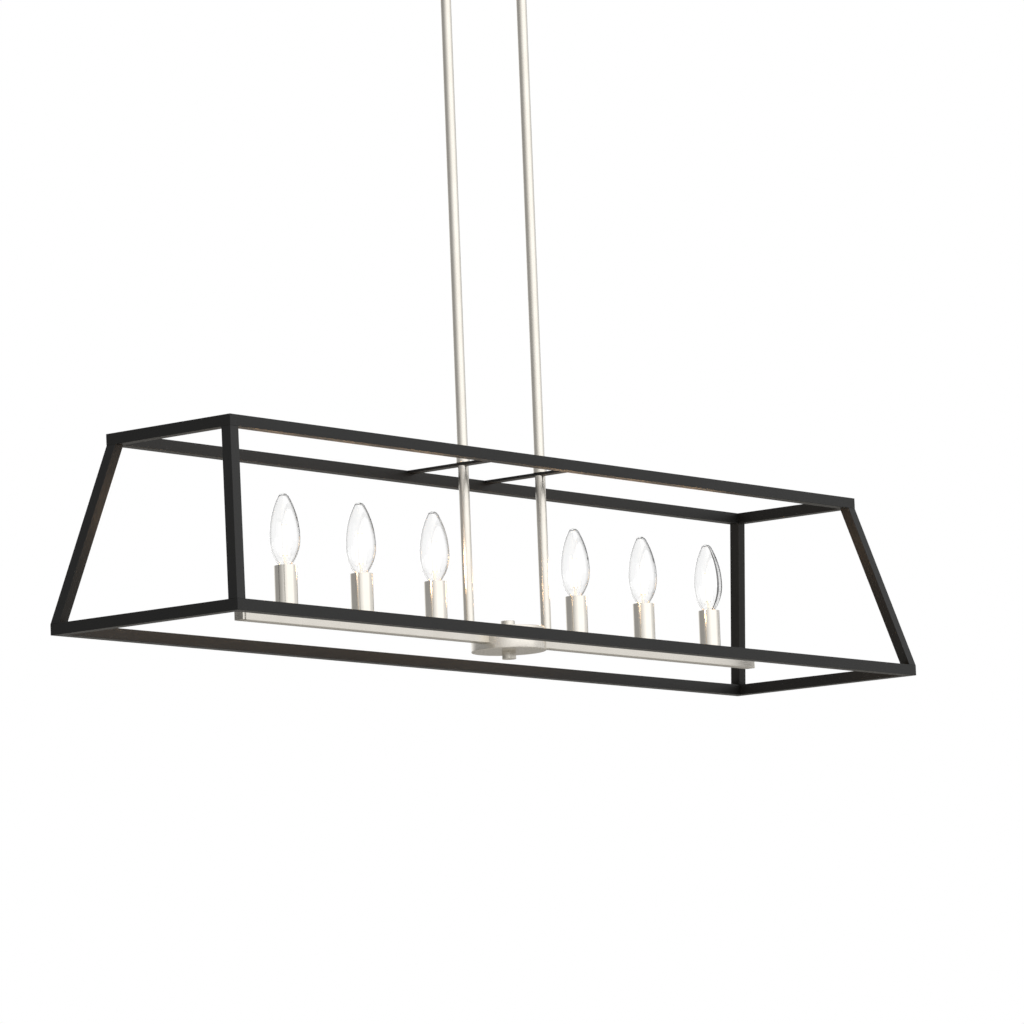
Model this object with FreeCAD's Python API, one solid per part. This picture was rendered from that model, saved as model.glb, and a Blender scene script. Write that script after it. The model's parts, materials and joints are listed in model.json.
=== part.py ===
import FreeCAD, Part
import math
import os

# Linear island pendant: a black cage of square tube hangs on two nickel rods from a
# rectangular canopy. Inside the cage one square bar carries a round hub and six candle
# lamps. All sizes are in millimetres. The origin is the middle of the ceiling face of the
# canopy, +Z is up and +X runs along the length of the cage.

Vec = FreeCAD.Vector

# cage of square tube
tube = 12.7               # side of the square tube of the cage
tube_wall = 1.2
tube_corner = 0.9         # outer corner radius of the tube
bottom_length = 1224.3    # outer length of the bottom ring
bottom_width = 271.6
top_length = 1128.6       # outer length of the top ring
top_width = 181.0
cage_height = 218.2       # underside of the bottom ring to the top of the top ring

# hanging rods and crossbars
rod_spacing = 138.8       # from rod to rod
rod_diameter = 12.0
rod_wall = 1.2
upper_rod_length = 609.6  # 24 inch rods above the cage
crossbar_width = 12.7
crossbar_thickness = 3.2
collar_diameter = 15.4
collar_height = 8.0
collar_chamfer = 0.4
wire_way = 6.2            # bore through threaded ends and swivel
spigot_length = 16.0      # of a threaded end, into the rod above it
plug_length = 3.0         # of the solid end inside a rod's tube, behind its thread

# light bar
bar_side = 12.7
bar_wall = 1.2
bar_corner = 0.6
bar_length = 914.4        # 36 inch tube
bar_cap_thickness = 2.8   # plate welded into each end
bar_height = 12.7         # underside of the bar above the underside of the cage

# round hub on the middle of the bar
hub_diameter = 86.0
hub_height = 26.7
hub_wall = 1.4
hub_plate_thickness = 2.2
hub_rim_height = 3.0
hub_chamfer = 0.8
stud_diameter = 9.6       # threaded stud through hub and bar
hub_nut_diameter = 16.0
hub_nut_height = 8.6
hub_nut_depth = 6.4       # blind thread of the nut
hub_nut_chamfer = 0.4

# candles
candles_per_side = 3
candle_margin = 76.2      # outermost candle to the end of the bar's tube, 3 inch
sleeve_diameter = 25.4
sleeve_wall = 1.0
sleeve_floor = 1.6
sleeve_height = 52.3
socket_diameter = 19.0
socket_height = 46.0
socket_cup_depth = 16.5   # room for the screw base of the lamp
nipple_diameter = 9.6
contact_diameter = 4.0
contact_height = 1.2

# candle lamp
lamp_diameter = 35.0
lamp_glass_wall = 0.7
lamp_length = 100.0       # base contact to the tip of the glass
lamp_belly_height = 53.8  # widest place above the base contact
lamp_base_diameter = 11.7
lamp_base_length = 16.6
lamp_base_floor = 1.4     # of the shell, above the insulator
lamp_contact_diameter = 4.8
lamp_insulator_height = 3.2
lamp_insulator_inset = 1.6
lamp_base_bead = 0.8      # height of the cone from the insulator out to the shell
lamp_neck_radius = 5.2
lamp_neck_depth = 3.0     # of the glass inside the base
lamp_neck_fillet = 5.0    # hollow arc from neck to flank
lamp_flank_radius = 55.4  # arc from neck to belly
lamp_tip_radius = 5.2
fillet_rings = 2          # straight rings that stand for each arc of the glass
flank_rings = 4
shoulder_rings = 5
tip_rings = 2
stem_diameter = 3.4
stem_length = 15.0        # above the base
flare_height = 2.0        # above the base, where the stem's foot has become thin
wire_side = 0.7           # lead wires between the stem and the glowing sticks
stick_width = 1.7
stick_thickness = 1.1
stick_length = 36.0
stick_circle = 9.0        # the glowing sticks stand on this circle
stick_count = 4

# swivels
pin_diameter = 5.0
pin_inset = 0.5           # rivet head behind the yoke's outside
pin_drop = 18.0           # canopy underside down to the swivel pin
yoke_diameter = 17.0
yoke_base = 8.0           # solid part of the yoke above its slot
yoke_ear_radius = 7.0     # rounded end of the ears round the pin
tongue_thickness = 6.0
tongue_radius = 6.0
tongue_drop = 12.0        # pin down to the foot of the tongue
tongue_foot_height = 4.0
tongue_foot_diameter = 14.0
yoke_shank_diameter = 9.6
yoke_shank_length = 12.0
lock_nut_flats = 15.0
lock_nut_height = 5.0

# canopy and mounting strap
canopy_length = 304.8     # 12 inch
canopy_width = 114.3      # 4.5 inch
canopy_depth = 25.4
canopy_wall = 1.4
canopy_corner = 9.0
canopy_chamfer = 2.0      # lower edge
strap_length = 250.0
strap_width = 34.0
strap_thickness = 2.4
strap_corner = 2.4
box_screw_spacing = 79.4  # middle of the slots, between the 70 and 89 mm outlet boxes
box_slot_length = 15.0
box_slot_width = 5.2
canopy_screw_spacing = 228.6
canopy_screw_diameter = 4.8
canopy_screw_head = 11.0
canopy_screw_head_height = 7.0
canopy_screw_chamfer = 1.5
canopy_screw_short = 0.4  # screw end behind the ceiling face
strap_wire_hole = 22.0

# clearances
running = 0.05            # radial, swivel pin in its tongue
slide_in = 0.10           # radial, threads and rods through plates
lamp_clearance = 0.30     # round and under the lamp base in its socket
swivel_side = 0.25        # each side of the tongue in the yoke
stud_end_gap = 0.10       # between the stud and the bottom of each nut
through = 1.0             # what a cutter stands out past the face it cuts

# heights, worked down from the ceiling
canopy_under = -canopy_depth
pin_z = canopy_under - pin_drop
rod_top = pin_z - tongue_drop - tongue_foot_height
cage_top = rod_top - upper_rod_length
cage_under = cage_top - cage_height
crossbar_under = cage_top - crossbar_thickness
bar_under = cage_under + bar_height
bar_top = bar_under + bar_side
hub_middle = bar_under + bar_side / 2
hub_under = hub_middle - hub_height / 2
hub_top = hub_under + hub_height
rod_bore = rod_diameter - 2 * rod_wall
spigot_diameter = rod_bore - 2 * slide_in
socket_top = bar_top + sleeve_floor + socket_height
socket_contact = socket_top - socket_cup_depth + contact_height
lamp_bottom = socket_contact + lamp_clearance

# places along X
rod_places = {"left": -rod_spacing / 2, "right": rod_spacing / 2}
canopy_screw_places = (-canopy_screw_spacing / 2, canopy_screw_spacing / 2)
box_slot_places = (-box_screw_spacing / 2, box_screw_spacing / 2)
candle_pitch = (bar_length / 2 - candle_margin) / candles_per_side
candle_places = [candle_pitch * step for step in range(-candles_per_side, candles_per_side + 1) if step]


def polygon_face(points):
    """Flat face inside straight edges."""
    return Part.Face(Part.makePolygon(list(points) + [points[0]]))


def rounded_rectangle(length, width, radius):
    """Wire in the XY plane, centred, with quarter-round corners."""
    a = length / 2
    b = width / 2
    edges = []
    corners = ((a - radius, b - radius, 0), (-a + radius, b - radius, 90),
               (-a + radius, -b + radius, 180), (a - radius, -b + radius, 270))
    for index, (x, y, turn) in enumerate(corners):
        arc = Part.makeCircle(radius, Vec(x, y, 0), Vec(0, 0, 1), turn, turn + 90)
        next_x, next_y, next_turn = corners[(index + 1) % 4]
        angle = math.radians(next_turn)
        following = Vec(next_x + radius * math.cos(angle), next_y + radius * math.sin(angle), 0)
        edges.append(arc)
        edges.append(Part.makeLine(arc.Vertexes[-1].Point, following))
    return Part.Wire(edges)


def hollow_section(length, width, wall, corner):
    """Section of a tube in the XY plane: rounded outside, square inside."""
    a = length / 2 - wall
    b = width / 2 - wall
    hole = polygon_face([Vec(a, b, 0), Vec(-a, b, 0), Vec(-a, -b, 0), Vec(a, -b, 0)])
    return Part.Face(rounded_rectangle(length, width, corner)).cut(hole)


def tube_along_x(length, side, wall, corner):
    """Square tube, its middle at the origin."""
    section = hollow_section(side, side, wall, corner)
    section.rotate(Vec(0, 0, 0), Vec(0, 1, 0), 90)
    section.translate(Vec(-length / 2, 0, 0))
    return section.extrude(Vec(length, 0, 0))


def cylinder(radius, bottom, top, x=0.0):
    """Upright cylinder between two heights."""
    return Part.makeCylinder(radius, top - bottom, Vec(x, 0, bottom))


def cross_cylinder(radius, length, x):
    """Cylinder along X, its middle at x on the swivel axis."""
    return Part.makeCylinder(radius, length, Vec(x - length / 2, 0, pin_z), Vec(1, 0, 0))


def revolved(points, x=0.0):
    """Solid of revolution about the upright line at x, from (radius, height) points."""
    profile = polygon_face([Vec(radius, 0, height) for radius, height in points])
    solid = profile.revolve(Vec(0, 0, 0), Vec(0, 0, 1), 360)
    solid.translate(Vec(x, 0, 0))
    return solid


def arc_points(centre_radius, centre_height, radius, first, last, rings):
    """(radius, height) points that divide an arc, after its first, between angles from +X towards +Z."""
    points = []
    for ring in range(1, rings + 1):
        turn = math.radians(first + (last - first) * ring / rings)
        points.append((centre_radius + radius * math.cos(turn), centre_height + radius * math.sin(turn)))
    return points


def hexagon(flats, bottom, top, x):
    """Hexagon nut blank."""
    corner = flats / math.sqrt(3)
    turns = [math.radians(60 * side) for side in range(6)]
    points = [Vec(x + corner * math.cos(turn), corner * math.sin(turn), bottom) for turn in turns]
    return polygon_face(points).extrude(Vec(0, 0, top - bottom))


def save(name, *solids):
    """One file for each node; several solids stay apart in it."""
    shape = solids[0] if len(solids) == 1 else Part.makeCompound(list(solids))
    shape.exportStep(os.path.join("parts", name + ".step"))


def mitred_rail(length, outer_offset, under):
    """Front rail of a ring, its ends cut at 45 degrees and its outer face at that distance from the middle."""
    rail = tube_along_x(length, tube, tube_wall, tube_corner)
    rail.translate(Vec(0, -outer_offset + tube / 2, under + tube / 2))
    half = length / 2
    plan = [Vec(-half, -outer_offset, under), Vec(half, -outer_offset, under),
            Vec(half - tube, -outer_offset + tube, under), Vec(-half + tube, -outer_offset + tube, under)]
    return rail.common(polygon_face(plan).extrude(Vec(0, 0, tube)))


def ring(prefix, length, width, under):
    """Four mitred rails that close a rectangle."""
    long_rail = mitred_rail(length, width / 2, under)
    short_rail = mitred_rail(width, length / 2, under)
    places = (("front", long_rail, 0), ("right", short_rail, 90),
              ("back", long_rail, 180), ("left", short_rail, 270))
    for side, rail, turn in places:
        placed = rail.copy()
        placed.rotate(Vec(0, 0, 0), Vec(0, 0, 1), turn)
        save(prefix + "_rail_" + side, placed)


def corner_post(side_x, side_y):
    """Leaning post from the bottom ring's top face to the top ring's underside.

    Its level section is the tube's, stretched by the lean, so that it fills the corner.
    """
    rise = cage_height - 2 * tube
    lean_x = (bottom_length - top_length) / 2
    lean_y = (bottom_width - top_width) / 2
    across_x = tube * math.hypot(1, lean_x / rise)
    across_y = tube * math.hypot(1, lean_y / rise)
    section = hollow_section(across_x, across_y, tube_wall, tube_corner)
    foot_x = side_x * (bottom_length - across_x) / 2
    foot_y = side_y * (bottom_width - across_y) / 2
    section.translate(Vec(foot_x, foot_y, cage_under + tube))
    return section.extrude(Vec(-side_x * lean_x, -side_y * lean_y, rise))


def make_cage():
    ring("top", top_length, top_width, cage_top - tube)
    ring("bottom", bottom_length, bottom_width, cage_under)
    for end, side_x in (("left", -1), ("right", 1)):
        for face, side_y in (("front", -1), ("back", 1)):
            save("corner_post_" + face + "_" + end, corner_post(side_x, side_y))


def make_crossbars_and_rods():
    inside = top_width - 2 * tube
    collars = []
    for side, x in rod_places.items():
        crossbar = Part.makeBox(crossbar_width, inside, crossbar_thickness,
                                Vec(x - crossbar_width / 2, -inside / 2, crossbar_under))
        hole = cylinder(spigot_diameter / 2 + slide_in, crossbar_under, cage_top, x)
        save("crossbar_" + side, crossbar.cut(hole))

        # threaded foot in the bar, tube, shoulder under the crossbar, threaded end above it
        outer = rod_diameter / 2
        spigot = spigot_diameter / 2
        bore = wire_way / 2
        foot = bar_top - bar_wall
        shoulder = crossbar_under
        end = cage_top + spigot_length
        lower = [(bore, foot), (spigot, foot), (spigot, bar_top), (outer, bar_top), (outer, shoulder),
                 (spigot, shoulder), (spigot, end), (bore, end), (bore, shoulder - plug_length),
                 (rod_bore / 2, shoulder - plug_length), (rod_bore / 2, bar_top + plug_length),
                 (bore, bar_top + plug_length)]
        save("lower_rod_" + side, revolved(lower, x))

        wide = collar_diameter / 2
        collar_top = cage_top + collar_height
        collar = [(outer + slide_in, cage_top), (wide, cage_top), (wide, collar_top - collar_chamfer),
                  (wide - collar_chamfer, collar_top), (outer + slide_in, collar_top)]
        collars.append(revolved(collar, x))

        upper = [(rod_bore / 2, cage_top), (outer, cage_top), (outer, rod_top), (rod_bore / 2, rod_top)]
        save("upper_rod_" + side, revolved(upper, x))
    save("rod_collars", *collars)


def make_light_bar():
    bar = tube_along_x(bar_length, bar_side, bar_wall, bar_corner)
    end_section = Part.Face(rounded_rectangle(bar_side, bar_side, bar_corner))
    end_section.rotate(Vec(0, 0, 0), Vec(0, 1, 0), 90)
    for side in (-1, 1):
        cap = end_section.extrude(Vec(side * bar_cap_thickness, 0, 0))
        cap.translate(Vec(side * bar_length / 2, 0, 0))
        bar = bar.fuse(cap)
    bar = bar.removeSplitter()
    bar.translate(Vec(0, 0, hub_middle))
    for x in candle_places:
        bar = bar.cut(cylinder(nipple_diameter / 2 + slide_in, hub_middle, bar_top + through, x))
    for x in rod_places.values():
        bar = bar.cut(cylinder(spigot_diameter / 2 + slide_in, hub_middle, bar_top + through, x))
    bar = bar.cut(cylinder(stud_diameter / 2 + slide_in, bar_under - through, bar_top + through))
    save("light_bar", bar)


def hub_nut(seat, direction):
    """Round closed nut on the hub's stud, seated at a height and pointing up or down."""
    wide = hub_nut_diameter / 2
    hole = stud_diameter / 2 + slide_in
    cut = hub_nut_chamfer
    outline = [(hole, 0), (wide, 0), (wide, hub_nut_height - cut), (wide - cut, hub_nut_height),
               (0, hub_nut_height), (0, hub_nut_depth), (hole, hub_nut_depth)]
    return revolved([(radius, seat + direction * height) for radius, height in outline])


def make_hub():
    radius = hub_diameter / 2
    cut = hub_chamfer
    inner = radius - hub_wall
    stud_hole = stud_diameter / 2 + slide_in
    plate_top = hub_under + hub_plate_thickness
    bar_hole = bar_side + 2 * slide_in
    bar_way = Part.makeBox(hub_diameter + 2 * through, bar_hole, bar_hole,
                           Vec(-radius - through, -bar_hole / 2, hub_middle - bar_hole / 2))

    # cup over the bar, open below
    cup = [(radius, plate_top), (radius, hub_top - cut), (radius - cut, hub_top), (stud_hole, hub_top),
           (stud_hole, hub_top - hub_wall), (inner, hub_top - hub_wall), (inner, plate_top)]
    save("hub_shell", revolved(cup).cut(bar_way))

    # plate that closes the cup, with a rim that centres it
    rim = inner - slide_in
    rim_top = plate_top + hub_rim_height
    plate = [(stud_hole, hub_under), (radius - cut, hub_under), (radius, hub_under + cut), (radius, plate_top),
             (rim, plate_top), (rim, rim_top), (rim - hub_wall, rim_top), (rim - hub_wall, plate_top),
             (stud_hole, plate_top)]
    save("hub_closing_plate", revolved(plate))

    stud_bottom = hub_under - hub_nut_depth + stud_end_gap
    stud_top = hub_top + hub_nut_depth - stud_end_gap
    save("hub_stud", cylinder(stud_diameter / 2, stud_bottom, stud_top))
    save("hub_nuts", hub_nut(hub_top, 1), hub_nut(hub_under, -1))


def make_sleeve(x):
    """Drawn cup: its floor sits on the bar, the nipple of the socket goes through it."""
    wide = sleeve_diameter / 2
    hole = nipple_diameter / 2 + slide_in
    top = bar_top + sleeve_height
    floor = bar_top + sleeve_floor
    outline = [(hole, bar_top), (wide, bar_top), (wide, top), (wide - sleeve_wall, top),
               (wide - sleeve_wall, floor), (hole, floor)]
    return revolved(outline, x)


def make_socket(x):
    """Lamp socket: threaded nipple in the bar, body, cup for the lamp base, centre contact."""
    floor = bar_top + sleeve_floor
    cup_floor = socket_top - socket_cup_depth
    wide = socket_diameter / 2
    nipple = nipple_diameter / 2
    cup = lamp_base_diameter / 2 + lamp_clearance
    contact = contact_diameter / 2
    outline = [(0, bar_top - bar_wall), (nipple, bar_top - bar_wall), (nipple, floor), (wide, floor),
               (wide, socket_top), (cup, socket_top), (cup, cup_floor), (contact, cup_floor),
               (contact, socket_contact), (0, socket_contact)]
    return revolved(outline, x)


def glass_outline(inset):
    """(radius, height) points of the torpedo from its neck to its tip, moved inwards by a wall.

    Four tangent arcs: a hollow fillet, the long flank up to the belly, the shoulder and the tip.
    """
    wide = lamp_diameter / 2
    neck_end = lamp_bottom + lamp_base_length - lamp_neck_depth
    belly = lamp_bottom + lamp_belly_height
    tip_height = lamp_bottom + lamp_length - lamp_tip_radius

    # the shoulder leaves the belly upright and runs into the tip's sphere
    rise = tip_height - belly
    shoulder = (wide ** 2 + rise ** 2 - lamp_tip_radius ** 2) / (2 * (wide - lamp_tip_radius))
    shoulder_end = math.degrees(math.atan2(rise, shoulder - wide))

    # the fillet joins the upright neck to the flank
    fillet_radius = lamp_neck_radius + lamp_neck_fillet
    across = fillet_radius - wide + lamp_flank_radius
    drop = math.sqrt((lamp_flank_radius + lamp_neck_fillet) ** 2 - across ** 2)
    flank_start = -math.degrees(math.atan2(drop, across))

    neck = lamp_neck_radius - inset
    flank = lamp_flank_radius - inset
    fillet = lamp_neck_fillet + inset
    points = [(neck, neck_end), (neck, belly - drop)]
    points += arc_points(fillet_radius, belly - drop, fillet, 180, 180 + flank_start, fillet_rings)
    points += arc_points(wide - lamp_flank_radius, belly, flank, flank_start, 0, flank_rings)
    points += arc_points(wide - shoulder, belly, shoulder - inset, 0, shoulder_end, shoulder_rings)
    points += arc_points(0, tip_height, lamp_tip_radius - inset, shoulder_end, 90, tip_rings)
    return points


def make_lamp_glass(x):
    """Blown envelope, open at its neck."""
    return revolved(glass_outline(0) + glass_outline(lamp_glass_wall)[::-1], x)


def make_lamp_base(x):
    """Screw base: contact button, tapered insulator, metal shell round the neck of the glass."""
    bottom = lamp_bottom
    top = lamp_bottom + lamp_base_length
    shell = bottom + lamp_insulator_height
    floor = shell + lamp_base_floor
    wide = lamp_base_diameter / 2
    bore = lamp_neck_radius + running
    outline = [(0, bottom), (lamp_contact_diameter / 2, bottom), (wide - lamp_insulator_inset, shell),
               (wide, shell + lamp_base_bead), (wide, top), (bore, top), (bore, floor), (0, floor)]
    return revolved(outline, x)


def make_lamp_filament(x):
    """Glass stem on the base, with lead wires that carry the glowing sticks round it."""
    foot = lamp_bottom + lamp_insulator_height + lamp_base_floor
    base_top = lamp_bottom + lamp_base_length
    stem_top = base_top + stem_length
    flare = lamp_neck_radius - lamp_glass_wall - running
    thin = stem_diameter / 2
    body = revolved([(0, foot), (flare, foot), (flare, base_top - lamp_neck_depth),
                     (thin, base_top + flare_height), (thin, stem_top), (0, stem_top)])
    reach = stick_circle / 2
    stick_foot = stem_top - stick_width
    low_wire = stick_foot + wire_side
    top_wire = stick_foot + stick_length - 2 * wire_side
    ray = Part.makeBox(stick_thickness, stick_width, stick_length,
                       Vec(reach - stick_thickness / 2, -stick_width / 2, stick_foot))
    for height in (low_wire, top_wire):
        ray = ray.fuse(Part.makeBox(reach, wire_side, wire_side, Vec(0, -wire_side / 2, height)))
    for index in range(stick_count):
        placed = ray.copy()
        placed.rotate(Vec(0, 0, 0), Vec(0, 0, 1), 360 / stick_count * (index + 0.5))
        body = body.fuse(placed)
    body.translate(Vec(x, 0, 0))
    return body.removeSplitter()


def make_candles():
    for number, x in enumerate(candle_places, start=1):
        save("sleeve_%d" % number, make_sleeve(x))
        save("socket_%d" % number, make_socket(x))
        save("lamp_glass_%d" % number, make_lamp_glass(x))
        save("lamp_base_%d" % number, make_lamp_base(x))
        save("lamp_filament_%d" % number, make_lamp_filament(x))


def make_yoke(x):
    """Fork under the canopy with its riveted pin, and the threaded shank through the canopy."""
    radius = yoke_diameter / 2
    shank_top = canopy_under + yoke_shank_length
    slot_top = canopy_under - yoke_base
    ear_end = pin_z - yoke_ear_radius
    gap = tongue_thickness + 2 * swivel_side
    ears = cross_cylinder(yoke_ear_radius, yoke_diameter, x).common(cylinder(radius, ear_end, pin_z, x))
    slot = Part.makeBox(gap, yoke_diameter + 2 * through, slot_top - ear_end + through,
                        Vec(x - gap / 2, -radius - through, ear_end - through))
    fork = cylinder(radius, pin_z, canopy_under, x).fuse(ears).cut(slot)
    pin = cross_cylinder(pin_diameter / 2, yoke_diameter - 2 * pin_inset, x)
    shank = cylinder(yoke_shank_diameter / 2, canopy_under, shank_top, x)
    bore = cylinder(wire_way / 2, slot_top - through, shank_top + through, x)
    return fork.fuse(pin).fuse(shank).cut(bore).removeSplitter()


def make_tongue(x):
    """Flat eye on the swivel pin, a round foot on the rod and a threaded end inside the rod."""
    neck_end = pin_z - tongue_drop
    eye = cross_cylinder(tongue_radius, tongue_thickness, x)
    neck = Part.makeBox(tongue_thickness, 2 * tongue_radius, tongue_drop,
                        Vec(x - tongue_thickness / 2, -tongue_radius, neck_end))
    foot = cylinder(tongue_foot_diameter / 2, rod_top, rod_top + tongue_foot_height, x)
    end = cylinder(spigot_diameter / 2, rod_top - spigot_length, rod_top, x)
    hole = cross_cylinder(pin_diameter / 2 + running, tongue_thickness + 2 * through, x)
    return eye.fuse(neck).fuse(foot).fuse(end).cut(hole).removeSplitter()


def make_swivels():
    nut_seat = canopy_under + canopy_wall
    nut_top = nut_seat + lock_nut_height
    nuts = []
    for x in rod_places.values():
        hole = cylinder(yoke_shank_diameter / 2 + slide_in, nut_seat, nut_top, x)
        nuts.append(hexagon(lock_nut_flats, nut_seat, nut_top, x).cut(hole))
    save("swivel_yokes", *[make_yoke(x) for x in rod_places.values()])
    save("swivel_tongues", *[make_tongue(x) for x in rod_places.values()])
    save("swivel_lock_nuts", *nuts)


def make_canopy():
    """Rectangular pan, open towards the ceiling."""
    outside = Part.Face(rounded_rectangle(canopy_length, canopy_width, canopy_corner))
    pan = outside.extrude(Vec(0, 0, canopy_depth))
    low_edges = [edge for edge in pan.Edges if max(vertex.Z for vertex in edge.Vertexes) < canopy_chamfer]
    pan = pan.makeChamfer(canopy_chamfer, low_edges)
    inside = Part.Face(rounded_rectangle(canopy_length - 2 * canopy_wall, canopy_width - 2 * canopy_wall,
                                         canopy_corner - canopy_wall)).extrude(Vec(0, 0, canopy_depth))
    inside.translate(Vec(0, 0, canopy_wall))
    pan = pan.cut(inside)
    pan.translate(Vec(0, 0, canopy_under))
    for x in rod_places.values():
        pan = pan.cut(cylinder(yoke_shank_diameter / 2 + slide_in, canopy_under - through, 0, x))
    for x in canopy_screw_places:
        pan = pan.cut(cylinder(canopy_screw_diameter / 2 + slide_in, canopy_under - through, 0, x))
    save("canopy", pan)


def round_ended_slot(length, width, bottom, top, x):
    """Cutter for a slot along X."""
    reach = (length - width) / 2
    middle = Part.makeBox(2 * reach, width, top - bottom, Vec(x - reach, -width / 2, bottom))
    ends = [cylinder(width / 2, bottom, top, x + side * reach) for side in (-1, 1)]
    return middle.fuse(ends)


def make_strap():
    """Flat steel strap on the outlet box, slotted for its screws."""
    plate = Part.Face(rounded_rectangle(strap_length, strap_width, strap_corner))
    strap = plate.extrude(Vec(0, 0, -strap_thickness))
    bottom = -strap_thickness - through
    for x in box_slot_places:
        strap = strap.cut(round_ended_slot(box_slot_length, box_slot_width, bottom, through, x))
    for x in canopy_screw_places:
        strap = strap.cut(cylinder(canopy_screw_diameter / 2 + slide_in, bottom, through, x))
    strap = strap.cut(cylinder(strap_wire_hole / 2, bottom, through))
    save("mounting_strap", strap)


def make_canopy_screws():
    """Thumb screws: head under the canopy, shank up into the strap."""
    wide = canopy_screw_head / 2
    thin = canopy_screw_diameter / 2
    cut = canopy_screw_chamfer
    low = canopy_under - canopy_screw_head_height
    end = -canopy_screw_short
    outline = [(0, low), (wide - cut, low), (wide, low + cut), (wide, canopy_under), (thin, canopy_under),
               (thin, end), (0, end)]
    save("canopy_screws", *[revolved(outline, x) for x in canopy_screw_places])


os.makedirs("parts", exist_ok=True)
make_cage()
make_crossbars_and_rods()
make_light_bar()
make_hub()
make_candles()
make_swivels()
make_canopy()
make_strap()
make_canopy_screws()
print("cage underside at %.1f, hub nut lowest at %.1f" % (cage_under, hub_under - hub_nut_height))
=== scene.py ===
import json
import math

import bmesh
import bpy
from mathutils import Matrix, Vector

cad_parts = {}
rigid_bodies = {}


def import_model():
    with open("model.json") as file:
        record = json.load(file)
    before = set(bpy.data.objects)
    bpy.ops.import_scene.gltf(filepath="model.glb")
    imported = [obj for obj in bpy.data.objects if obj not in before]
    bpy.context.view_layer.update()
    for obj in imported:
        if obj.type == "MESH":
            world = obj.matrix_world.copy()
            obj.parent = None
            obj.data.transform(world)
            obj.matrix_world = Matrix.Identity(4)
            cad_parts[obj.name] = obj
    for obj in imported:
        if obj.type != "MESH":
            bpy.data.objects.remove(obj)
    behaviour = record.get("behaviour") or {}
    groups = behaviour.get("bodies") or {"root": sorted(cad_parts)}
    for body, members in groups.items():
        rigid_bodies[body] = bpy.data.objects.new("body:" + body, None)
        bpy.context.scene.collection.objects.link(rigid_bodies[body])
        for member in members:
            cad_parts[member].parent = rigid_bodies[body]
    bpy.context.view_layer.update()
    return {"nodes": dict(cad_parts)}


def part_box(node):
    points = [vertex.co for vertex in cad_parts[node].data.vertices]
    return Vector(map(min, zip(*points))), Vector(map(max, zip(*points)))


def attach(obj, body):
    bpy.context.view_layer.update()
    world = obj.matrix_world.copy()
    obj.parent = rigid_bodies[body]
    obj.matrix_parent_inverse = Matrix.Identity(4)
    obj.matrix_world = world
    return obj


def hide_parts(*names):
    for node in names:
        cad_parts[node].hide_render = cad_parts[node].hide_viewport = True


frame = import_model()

# Linear island pendant: black cage of square tube, satin nickel rods, bar, hub and sleeves,
# six clear candle lamps. Metres, +Z towards the ceiling, +X along the cage.

mm = 0.001
lampCount = 6
weldGap = 0.002 * mm  # points nearer than this are one point
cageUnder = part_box("bottom_rail_front")[0].z
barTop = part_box("light_bar")[1].z


# small helpers

def toLinear(hexText):
    # sRGB hex to the linear colour that the shaders take
    levels = [int(hexText[i:i + 2], 16) / 255 for i in (1, 3, 5)]
    return [v / 12.92 if v <= 0.04045 else ((v + 0.055) / 1.055) ** 2.4 for v in levels] + [1.0]


def addNode(tree, kind, settings=None, links=None):
    # a node with its settings, and with its inputs linked from other nodes' outputs
    node = tree.nodes.new(kind)
    for name, value in (settings or {}).items():
        if isinstance(name, int) or name in node.inputs:
            node.inputs[name].default_value = value
        else:
            setattr(node, name, value)
    for name, source in (links or {}).items():
        tree.links.new(source, node.inputs[name])
    return node


def startObjectMode():
    if bpy.context.mode != "OBJECT":
        bpy.ops.object.mode_set(mode="OBJECT")
    bpy.ops.object.select_all(action="DESELECT")


def choose(piece):
    # object mode, with this piece alone selected
    startObjectMode()
    piece.select_set(True)
    bpy.context.view_layer.objects.active = piece


def pick(kind, test):
    # selects the vertices, edges or faces of the piece in edit mode that pass the test
    bpy.ops.mesh.select_mode(type=kind)
    bpy.ops.mesh.select_all(action="DESELECT")
    mesh = bmesh.from_edit_mesh(bpy.context.edit_object.data)
    mesh.normal_update()
    parts = {"VERT": mesh.verts, "EDGE": mesh.edges, "FACE": mesh.faces}[kind]
    for part in parts:
        if test(part):
            part.select_set(True)
    bmesh.update_edit_mesh(bpy.context.edit_object.data)


def runsAlong(edge, axis):
    step = edge.verts[1].co - edge.verts[0].co
    return abs(step[axis]) > 0.9 * step.length


def named(name):
    # the piece that was just added, named and with its place in its mesh
    piece = bpy.context.active_object
    piece.name = name
    piece.data.name = name
    choose(piece)
    bpy.ops.object.transform_apply(location=True, rotation=True, scale=True)
    return piece


def editPiece(piece):
    choose(piece)
    bpy.ops.object.mode_set(mode="EDIT")


def block(name, low, high):
    # box between two corners, left in edit mode for what shapes it
    startObjectMode()
    bpy.ops.mesh.primitive_cube_add(size=1, location=(low + high) / 2, scale=high - low)
    piece = named(name)
    editPiece(piece)
    return piece


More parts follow.
